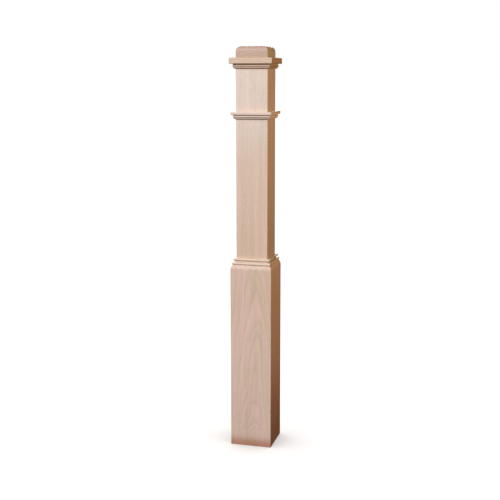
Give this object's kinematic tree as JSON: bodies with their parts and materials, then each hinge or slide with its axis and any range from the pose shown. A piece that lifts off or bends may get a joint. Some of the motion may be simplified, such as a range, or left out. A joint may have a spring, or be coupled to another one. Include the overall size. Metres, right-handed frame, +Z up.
{
  "type": "newel post",
  "caption": "Square box newel post of mitred boards, with a boxed base, bead and ovolo mouldings round the shaft and a rounded cap block.",
  "frame": {"origin": "centre of the post's square foot, on the floor", "axes": "+Z up the post; the front faces -Y and the right side faces +X"},
  "size_m": [0.1618, 0.1618, 1.524],
  "materials": {
    "base_oak": "unfinished, planed and sanded",
    "shaft_oak": "unfinished, planed and sanded",
    "moulding_oak": "unfinished, planed and sanded",
    "cap_oak": "unfinished, planed and sanded"
  },
  "bodies": {
    "root": {"base_board_front": "base_oak", "base_board_right": "base_oak", "base_board_back": "base_oak", "base_board_left": "base_oak", "shaft_board_front": "shaft_oak", "shaft_board_right": "shaft_oak", "shaft_board_back": "shaft_oak", "shaft_board_left": "shaft_oak", "base_moulding_front": "moulding_oak", "base_moulding_right": "moulding_oak", "base_moulding_back": "moulding_oak", "base_moulding_left": "moulding_oak", "neck_moulding_front": "moulding_oak", "neck_moulding_right": "moulding_oak", "neck_moulding_back": "moulding_oak", "neck_moulding_left": "moulding_oak", "crown_moulding_front": "moulding_oak", "crown_moulding_right": "moulding_oak", "crown_moulding_back": "moulding_oak", "crown_moulding_left": "moulding_oak", "cap_block": "cap_oak"}
  },
  "joints": []
}
